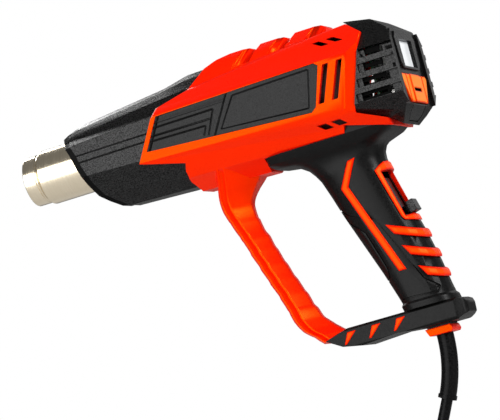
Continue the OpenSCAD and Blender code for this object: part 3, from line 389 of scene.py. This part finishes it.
# Nozzle: a drawn stainless tube, turned down at the mouth to a seat for slip-on nozzles, with a rolled
# lip and a groove behind the seat. Its rear flange is clamped between the nose and the air duct.
nozzle_r, bore_r, nozzle_end, nozzle_sides = 17.5, 16.5, 142.0, 96
seat_r, seat_bore_r, seat_len, groove_deep = 16.0, 14.2, 8.0, 0.8
flange_r, flange_t = 24.0, 1.8
mouth_lip = [(0.5, seat_bore_r + 0.3), (0.0, seat_bore_r + 0.8), (0.0, seat_r - 0.7), (0.25, seat_r - 0.2),
             (0.7, seat_r)]
groove = [(seat_len - 0.3, seat_r), (seat_len + 0.2, seat_r - 0.35), (seat_len + 0.6, seat_r - groove_deep),
          (seat_len + 1.5, seat_r - groove_deep), (seat_len + 2.2, seat_r - 0.4)]
shoulder = [(seat_len + 3.2, nozzle_r - 0.25), (seat_len + 4.0, nozzle_r)]
flange = [(nozzle_end - flange_t, nozzle_r), (nozzle_end - flange_t, flange_r), (nozzle_end, flange_r)]
bore = [(nozzle_end, bore_r), (seat_len + 5.0, bore_r), (seat_len + 3.0, seat_bore_r)]
shape = bmesh.new()
ring = [shape.verts.new(at(back, 0.0, radius))
        for back, radius in mouth_lip + groove + shoulder + flange + bore]
chain = [shape.edges.new((a, b)) for a, b in zip(ring, ring[1:] + ring[:1])]
bmesh.ops.spin(shape, geom=ring + chain, cent=at(0.0, 0.0, 0.0), axis=(1.0, 0.0, 0.0), angle=2 * math.pi,
               steps=nozzle_sides, use_merge=True)
bmesh.ops.remove_doubles(shape, verts=shape.verts, dist=1e-6)
bmesh.ops.recalc_face_normals(shape, faces=shape.faces)
stainless = metal("stainless_steel", (0.78, 0.67, 0.49), (0.92, 0.82, 0.64), rough=0.17, across=2600.0,
                  along=40.0)
finish_piece(shape, "nozzle", "body", stainless, "steel", "nozzle_tube", smooth=40.0)

# Heater: two crossed mica boards inside a mica sleeve, with a coiled resistance wire wound round them
# and a thermal cut-out at the back. Its front end shows through the nozzle's mouth.
mica = plastic("mica", (0.42, 0.36, 0.24), (0.62, 0.55, 0.40), rough=0.4, grain_size=420.0, grain_depth=0.12,
               gloss=0.5)
dress(mica, "mica_sleeve", "heater_cross")
core_front, core_back, core_r, spider_len = 20.0, 124.0, 11.55, 5.0
wire_d, wire_clear, coil_turns = 1.6, 0.15, 10
wire_r = core_r + wire_clear + wire_d / 2 / math.cos(math.pi / 6)
winding_from = core_front + spider_len + 2 * wire_d
winding_span = core_back - core_front - 2 * (spider_len + 2 * wire_d)
curls, curl_steps, curl_r, strand_d = 64, 8, 0.55, 0.5
winding_steps = coil_turns * curls * curl_steps
winding = []
for step in range(winding_steps + 1):
    turned = 2 * math.pi * step / (curls * curl_steps)
    curl = 2 * math.pi * step / curl_steps
    radius = wire_r + curl_r * math.cos(curl)
    winding.append((winding_from + winding_span * step / winding_steps + curl_r * math.sin(curl),
                    radius * math.cos(turned), radius * math.sin(turned)))
heater_winding = strand("heater_winding", winding, thick=strand_d, rounds=0)
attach(heater_winding, "body")
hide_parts("heater_coil")
heating_wire = metal("heating_wire", (0.30, 0.24, 0.20), (0.46, 0.38, 0.32), rough=0.38, across=900.0,
                     along=900.0)
heater_winding.data.materials.append(heating_wire)
cutout_can = metal("cutout_can", (0.45, 0.44, 0.42), (0.62, 0.61, 0.59), rough=0.35, across=500.0,
                   along=500.0)
dress(cutout_can, "thermal_cutout")

# Nose shroud: a hollow black glass-filled moulding with a fine spark-eroded texture, a raked mouth with a lip
# round the nozzle, finer in grain and painted a darker, duller black as shade, and two fine grooves along
# each flank. It plugs into the front of the housing.
black_plastic = plastic("black_plastic", (0.001, 0.001, 0.001), (0.007, 0.007, 0.0071), rough=0.33,
                        grain_size=1500.0, grain_depth=0.05, gloss=0.12, sparkle=0.42)
nose = softened("nose_shroud", black_plastic, "black_plastic", round_off=0.25, angle=12.0, smooth=12.0)
# A second finish for the lip band: a darker, less glossy black, painted shade on the band.
lip_painted_shade = plastic("lip_painted_shade", (0.001, 0.001, 0.001), (0.003, 0.003, 0.003), rough=0.5, grain_size=900.0,
                     grain_depth=0.01, gloss=0.05)
nose.data.materials.append(lip_painted_shade)
rim_line = [(28.5, 47.0), (22.5, 38.0), (18.5, 32.3), (7.0, 37.0), (-4.0, 40.0), (-15.0, 44.0), (-23.0, 48.0),
            (-28.0, 53.0), (-32.0, 58.0), (-37.0, 64.0)]
lip_band = 4.3
# Faces in the band behind the mouth's rim take the painted shade.
for face in nose.data.polygons:
    back, high = tip_ahead - face.center.x / MM, face.center.z / MM - axis_high
    for (top, upper), (low, lower) in zip(rim_line, rim_line[1:]):
        if low <= high <= top and back < upper + (lower - upper) * (top - high) / (top - low) + lip_band:
            face.material_index = 1

# Housing: two orange shells screwed together along the middle, with slanted air vents, a rail of
# thumb ridges along the top and a belly from which the guard and the grip hang.
orange_plastic = plastic("orange_plastic", (0.86, 0.0040, 0.0001), (0.92, 0.0070, 0.0002), rough=0.36,
                         grain_size=2200.0, grain_depth=0.02, gloss=0.31, sheen_tint=(1.0, 1.0, 0.0))
for side in ("left", "right"):
    softened("housing_" + side, orange_plastic, "orange_plastic", round_off=1.0, segments=3)

# Side panels: thin dark grey inlays, clipped into a recess in each flank. Each has a row of bars in
# front and a bare nameplate field behind a slanted groove.
panel_plastic = plastic("panel_plastic", (0.001, 0.001, 0.001), (0.008, 0.008, 0.0082), rough=0.36,
                        grain_size=1900.0, grain_depth=0.05, gloss=0.13, sparkle=0.16)
for side in ("left", "right"):
    softened("side_panel_" + side, panel_plastic, "grey_plastic", round_off=0.25)

# Blower: a motor in a spoked mount inside a grey duct, with a nine-bladed fan pressed on its shaft, and
# near-black screens behind the air inlets, dark sheets that stand in for the shade inside them. The little of
# it that shows is seen through the vents and louvres.
duct_plastic = plastic("duct_plastic", (0.10, 0.10, 0.10), (0.14, 0.14, 0.14), rough=0.5, grain_size=1200.0,
                       grain_depth=0.08, gloss=0.3)
dress(duct_plastic, "air_duct")
dress(black_plastic, "motor_mount", "impeller")
# A near-black finish for the inlet screens: painted shade inside the louvres.
screen_painted_shade = plastic("screen_painted_shade", (0.0008, 0.0008, 0.0008), (0.002, 0.002, 0.002), rough=0.7,
                      grain_size=1500.0, grain_depth=0.10, gloss=0.05)
dress(screen_painted_shade, "inlet_screens")
motor_can = metal("motor_can", (0.52, 0.51, 0.49), (0.68, 0.67, 0.65), rough=0.28, across=60.0, along=700.0)
dress(motor_can, "motor", "motor_shaft")

# Rear cap: a black moulding over the air inlet, with louvre fins that run out into teeth at its rear
# edge, a raised frame round the display and a latch tab under the rocker.
softened("rear_cap", black_plastic, "black_plastic", round_off=0.45)

# Display and its board: a small grey liquid-crystal window in front of a white module on a green board,
# which stands on four posts inside the cap and carries the two key switches.
lcd_glass = plastic("lcd_glass", (0.56, 0.57, 0.57), (0.66, 0.67, 0.67), rough=0.14, grain_size=90.0,
                    grain_depth=0.0, gloss=0.5)
# The display window glows faintly: painted light that brightens it, though nothing in it is a lamp.
painted_glow = lcd_glass.node_tree.nodes["Principled BSDF"].inputs
painted_glow["Emission Color"].default_value = (0.9, 0.95, 1.0, 1.0)
painted_glow["Emission Strength"].default_value = 0.24
dress(lcd_glass, "display_lens")
module_white = plastic("module_white", (0.55, 0.55, 0.53), (0.62, 0.62, 0.60), rough=0.4, grain_size=800.0,
                       grain_depth=0.02, gloss=0.4)
dress(module_white, "display_module")
board_green = plastic("board_green", (0.010, 0.085, 0.030), (0.020, 0.14, 0.05), rough=0.35, grain_size=260.0,
                      grain_depth=0.05, gloss=0.5)
dress(board_green, "control_board")
dress(black_plastic, "key_switches")

# Temperature rocker: an orange two-way key with a raised middle band and a slot, moulded in one; the slot's
# faces are painted black as shade. It tilts on a plated steel pin and presses one of the two key switches
# behind it.
# The last colour of each trim orange, a darker red, is painted shade on the trims' edges and on faces that
# don't face outwards.
trim_orange = plastic("trim_orange", (0.93, 0.042, 0.0006), (0.99, 0.068, 0.0015), rough=0.40,
                      grain_size=2200.0, grain_depth=0.03, gloss=0.32, sheen_tint=(1.0, 0.5, 0.05),
                      rim=(0.80, 0.006, 0.0003))
key_orange = plastic("key_orange", (0.95, 0.19, 0.001), (1.0, 0.26, 0.003), rough=0.38, grain_size=2200.0,
                     grain_depth=0.03, gloss=0.35, sheen_tint=(1.0, 0.5, 0.1), rim=(0.85, 0.03, 0.0006))


def off_edge(place, a, b):
    """How far a place lies from the edge between two corners."""
    share = min(max((place - a).dot(b - a) / (b - a).length_squared, 0.0), 1.0)
    return (place - a - (b - a) * share).length


# The share of a crown's border band that takes the full painted shade before it fades out.
rim_share, finer_edges = 0.35, (6.0, 3.0, 1.6, 0.9)


def domed(node, paint, slot, facing, band, rise, body="body"):
    """Copies a trim's faces into a new piece, crowns what faces outwards, and marks its border band and every
    face that doesn't face outwards for a painted-shade colour.
    """
    shape = bmesh.new()
    shape.from_mesh(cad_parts[node].data)
    bmesh.ops.remove_doubles(shape, verts=shape.verts, dist=weld_gap)
    for face in shape.faces:
        face.material_index = int(facing(face.calc_center_median(), face.normal))
    border = [[v.co.copy() for v in e.verts] for e in shape.edges
              if sum(f.material_index for f in e.link_faces) == 1]
    for longest in finer_edges:
        long_edges = [e for e in shape.edges if e.calc_length() > longest * MM
                      and any(f.material_index for f in e.link_faces)]
        bmesh.ops.subdivide_edges(shape, edges=long_edges, cuts=1)
        bmesh.ops.triangulate(shape, faces=[f for f in shape.faces if len(f.verts) > 3])
    shape.normal_update()
    # Painted shade: full on faces that don't face outwards and along the border, fading out across the band.
    rim = shape.verts.layers.float.new("rim")
    crowned = []
    for vert in shape.verts:
        vert[rim] = 1.0
        if all(f.material_index for f in vert.link_faces):
            inner = min(min(off_edge(vert.co, a, b) for a, b in border) / (band * MM), 1.0)
            vert[rim] = 1.0 - max(0.0, inner - rim_share) / (1.0 - rim_share)
            crowned.append((vert, vert.co + vert.normal * rise * MM * (1.0 - (1.0 - inner) ** 2)))
    for vert, place in crowned:
        vert.co = place
    for face in shape.faces:
        face.material_index = 0
    return finish_piece(shape, "dressed_" + node, body, paint, slot, node, smooth=50.0)


key = domed("temp_rocker", key_orange, "trim_orange", lambda place, way: way.x < -0.8, band=0.9, rise=0.25,
            body="rocker")
# The faces in the rocker's slot are painted black: painted shade in the slot.
key.data.materials.append(black_plastic)
slot_half, slot_top, slot_low, slot_slack = 7.05, -15.6, -17.4, 0.1
for face in key.data.polygons:
    high = face.center.z / MM - axis_high
    if abs(face.center.y) < slot_half * MM and slot_low - slot_slack < high < slot_top + slot_slack:
        face.material_index = 1
dress(nickel, "rocker_pin")

# Grip: two black shells overmoulded with soft rubber, with seams round the front pad and the flank,
# an orange stripe let into each side and three orange ribs round the back.
grip_rubber = plastic("grip_rubber", (0.001, 0.001, 0.001), (0.005, 0.005, 0.005), rough=0.40,
                      grain_size=1700.0, grain_depth=0.05, gloss=0.13)


def sideways(place, way):
    """Whether a face of a stripe looks out of its own side of the grip."""
    return way.y * place.y > 0.8 * abs(place.y)


def outwards(place, way):
    """Whether a face of the handle's trim looks away from the handle, to a side or to the back."""
    return abs(way.z) < 0.45 and (way.x < -0.6 or way.y * math.copysign(1.0, place.y) > 0.5)


for side in ("left", "right"):
    softened("grip_" + side, grip_rubber, "grip_rubber", round_off=0.3)
    domed("stripe_" + side, trim_orange, "trim_orange", sideways, band=1.5, rise=0.5)
domed("grip_ribs", trim_orange, "trim_orange", outwards, band=1.9, rise=0.7)

# Slide switch: an orange frame in the back of the grip, with a sunken floor in which a small black
# ribbed knob slides. The knob's stem works the switch body inside the grip.
domed("switch_bezel", trim_orange, "trim_orange", outwards, band=1.3, rise=0.3)
softened("switch_knob", black_plastic, "black_plastic", round_off=0.4, body="slider")
dress(black_plastic, "switch_body")

# Guard: the orange bow in front of the fingers, a moulding that hangs from the belly. Its section has a
# bevel in front, two fine crests with a channel between them on each flank, and a wide bevel behind, and
# shallow scales run down its length. A station is a height, a front edge, a rear edge and extra half width.
guard_stations = [
    (-156.0, 168.5, 187.0, 0.0), (-146.0, 159.8, 178.0, 0.0), (-141.0, 153.8, 172.0, 0.0),
    (-134.0, 149.6, 165.6, 0.0), (-125.0, 147.0, 161.4, 0.0), (-101.0, 138.8, 152.6, 0.0),
    (-77.0, 130.8, 144.8, 0.0), (-65.0, 126.2, 141.0, 0.0), (-58.0, 123.6, 140.0, 0.3),
    (-53.0, 122.6, 140.6, 0.8), (-47.0, 122.9, 144.5, 2.0), (-40.0, 124.8, 151.0, 4.4),
    (-34.0, 126.6, 154.6, 7.0), (-28.0, 128.0, 157.0, 10.0)]
guard_low, guard_high = guard_stations[0][0], guard_stations[-1][0]
guard_half, front_bevel, flank = 12.5, 2.3, 4.4
scale_step, scale_rise, scale_peak, scale_top, scale_low = 10.5, 0.45, 0.75, -62.0, -136.0


def eased(stations, high):
    """The guard's front edge, rear edge and extra half width at a height, on a smooth line."""
    last = len(stations) - 2
    k = next((i for i in range(last) if high < stations[i + 1][0]), last)
    before, a, b, after = (stations[min(max(i, 0), last + 1)] for i in (k - 1, k, k + 1, k + 2))
    t = (high - a[0]) / (b[0] - a[0])
    return [0.5 * (2 * q + (r - p) * t + (2 * p - 5 * q + 4 * r - u) * t * t
                   + (3 * q - p - 3 * r + u) * t ** 3)
            for p, q, r, u in zip(before[1:], a[1:], b[1:], after[1:])]


shape = bmesh.new()
rings = []
for step in range(round(guard_high - guard_low) + 1):
    high = guard_low + step
    front, rear, extra = eased(guard_stations, high)
    if scale_low < high < scale_top:
        along = ((high - scale_low) % scale_step) / scale_step
        swell = scale_rise * (min(along / scale_peak, (1.0 - along) / (1.0 - scale_peak)) - 0.5)
        front, rear = front - swell, rear + swell
    wide = guard_half + extra
    crease = front + front_bevel
    knee = crease + flank
    bevel = [(front, wide - 4.0), (front + 0.4, wide - 2.9), (crease - 0.3, wide - 0.4)]
    front_crest = [(crease, wide), (crease + 0.9, wide), (crease + 1.2, wide - 0.6)]
    rear_crest = [(knee - 0.5, wide - 1.9), (knee - 0.2, wide - 1.2), (knee, wide), (knee + 1.0, wide)]
    back_bevel = [(knee + 1.3, wide - 0.3), (rear + 0.2, wide - 9.6), (rear + 0.7, wide - 11.0)]
    half_loop = bevel + front_crest + rear_crest + back_bevel
    loop = [shape.verts.new(at(back, -right, high)) for back, right in half_loop]
    loop += [shape.verts.new(at(back, right, high)) for back, right in reversed(half_loop)]
    rings.append([shape.edges.new((a, b)) for a, b in zip(loop, loop[1:] + loop[:1])])
for lower, upper in zip(rings, rings[1:]):
    bmesh.ops.bridge_loops(shape, edges=lower + upper)
foot_back, foot_high, foot_slope = 168.0, -150.5, 0.3
bmesh.ops.bisect_plane(shape, geom=shape.verts[:] + shape.edges[:] + shape.faces[:],
                       plane_co=at(foot_back, 0.0, foot_high), plane_no=(-foot_slope, 0.0, -1.0),
                       clear_outer=True)
bmesh.ops.holes_fill(shape, edges=[e for e in shape.edges if e.is_boundary], sides=0)
bmesh.ops.recalc_face_normals(shape, faces=shape.faces)
finish_piece(shape, "bow", "body", orange_plastic, "orange_plastic", "guard", smooth=11.0)

# Base: a black moulded bar that joins guard and grip, with three orange flashes let into each side. The
# cord comes up through it into a clamp, screwed on from below, and its leads go on up the grip.
softened("base_bar", grip_rubber, "grip_rubber", round_off=0.8)
domed("base_inserts", trim_orange, "trim_orange", outwards, band=1.1, rise=0.2)
dress(panel_plastic, "cord_clamp")
dress(cord_rubber, "cord_root")
wire_sheath = plastic("wire_sheath", (0.16, 0.07, 0.03), (0.22, 0.10, 0.05), rough=0.4, grain_size=500.0,
                      grain_depth=0.02, gloss=0.4)
dress(wire_sheath, "lead_wires")

# Cord exit: an orange moulded collar under the base and a black rubber sleeve with a flared lip, which
# keeps the cord from kinking. The cord runs down through both.
softened("cord_collar", orange_plastic, "orange_plastic", round_off=0.5)
softened("cord_sleeve", cord_rubber, "cord_rubber", round_off=0.25)

# Screws: zinc-plated steel, with heads sunk in round holes. They are driven from the gun's right side to
# hold the shells and the grip together, and from below to hold the cord clamp on the base.
zinc = metal("zinc_plate", (0.42, 0.42, 0.43), (0.60, 0.60, 0.62), rough=0.3, across=400.0, along=400.0)
dress(zinc, "body_screws", "grip_screws", "base_screws")
